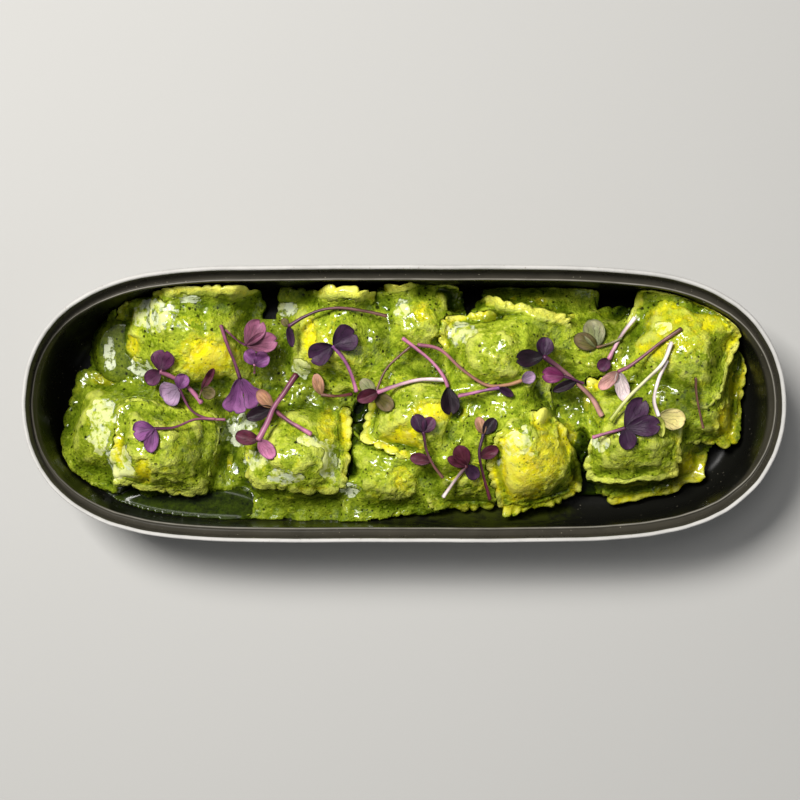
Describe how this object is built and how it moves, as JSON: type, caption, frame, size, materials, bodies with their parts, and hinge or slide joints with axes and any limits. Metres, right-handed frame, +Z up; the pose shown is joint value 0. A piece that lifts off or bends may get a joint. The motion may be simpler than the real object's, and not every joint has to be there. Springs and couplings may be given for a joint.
{
  "type": "bowl of pansotti",
  "caption": "Long round-ended stoneware bowl filled with fluted pansotti in green pesto, a shallow pool of pesto under them and purple cress sprigs on top.",
  "frame": {"origin": "middle of the bowl's foot, on the surface that it stands on", "axes": "+X along the bowl's length, +Y across its width, +Z up out of its mouth"},
  "size_m": [0.28, 0.1018, 0.045],
  "materials": {
    "glazed_stoneware": "black speckled glaze inside, bare pale grey stoneware rim and outside",
    "pasta_in_pesto": "wet yellow egg pasta coated with grainy green basil pesto",
    "pesto": "wet dark green oily sauce",
    "purple_cress": "soft purple leaves and pink stems"
  },
  "bodies": {
    "root": {"bowl": "glazed_stoneware", "cress_01": "purple_cress", "cress_02": "purple_cress", "cress_03": "purple_cress", "cress_04": "purple_cress", "cress_05": "purple_cress", "cress_06": "purple_cress", "cress_07": "purple_cress", "cress_08": "purple_cress", "cress_09": "purple_cress", "cress_10": "purple_cress", "cress_11": "purple_cress", "cress_12": "purple_cress", "cress_13": "purple_cress", "cress_14": "purple_cress", "cress_15": "purple_cress", "cress_16": "purple_cress", "cress_17": "purple_cress", "cress_18": "purple_cress", "cress_19": "purple_cress", "cress_20": "purple_cress", "cress_21": "purple_cress", "cress_22": "purple_cress", "cress_23": "purple_cress", "cress_24": "purple_cress", "cress_25": "purple_cress", "cress_26": "purple_cress", "cress_27": "purple_cress", "cress_28": "purple_cress", "cress_29": "purple_cress", "pansotto_01": "pasta_in_pesto", "pansotto_02": "pasta_in_pesto", "pansotto_03": "pasta_in_pesto", "pansotto_04": "pasta_in_pesto", "pansotto_05": "pasta_in_pesto", "pansotto_06": "pasta_in_pesto", "pansotto_07": "pasta_in_pesto", "pansotto_08": "pasta_in_pesto", "pansotto_09": "pasta_in_pesto", "pansotto_10": "pasta_in_pesto", "pansotto_11": "pasta_in_pesto", "pansotto_12": "pasta_in_pesto", "pansotto_13": "pasta_in_pesto", "pansotto_14": "pasta_in_pesto", "pansotto_15": "pasta_in_pesto", "pansotto_16": "pasta_in_pesto", "pansotto_17": "pasta_in_pesto", "pansotto_18": "pasta_in_pesto", "pansotto_19": "pasta_in_pesto", "pansotto_20": "pasta_in_pesto", "pansotto_21": "pasta_in_pesto", "pansotto_22": "pasta_in_pesto", "pansotto_23": "pasta_in_pesto", "pansotto_24": "pasta_in_pesto", "pesto_sauce": "pesto"}
  },
  "joints": []
}
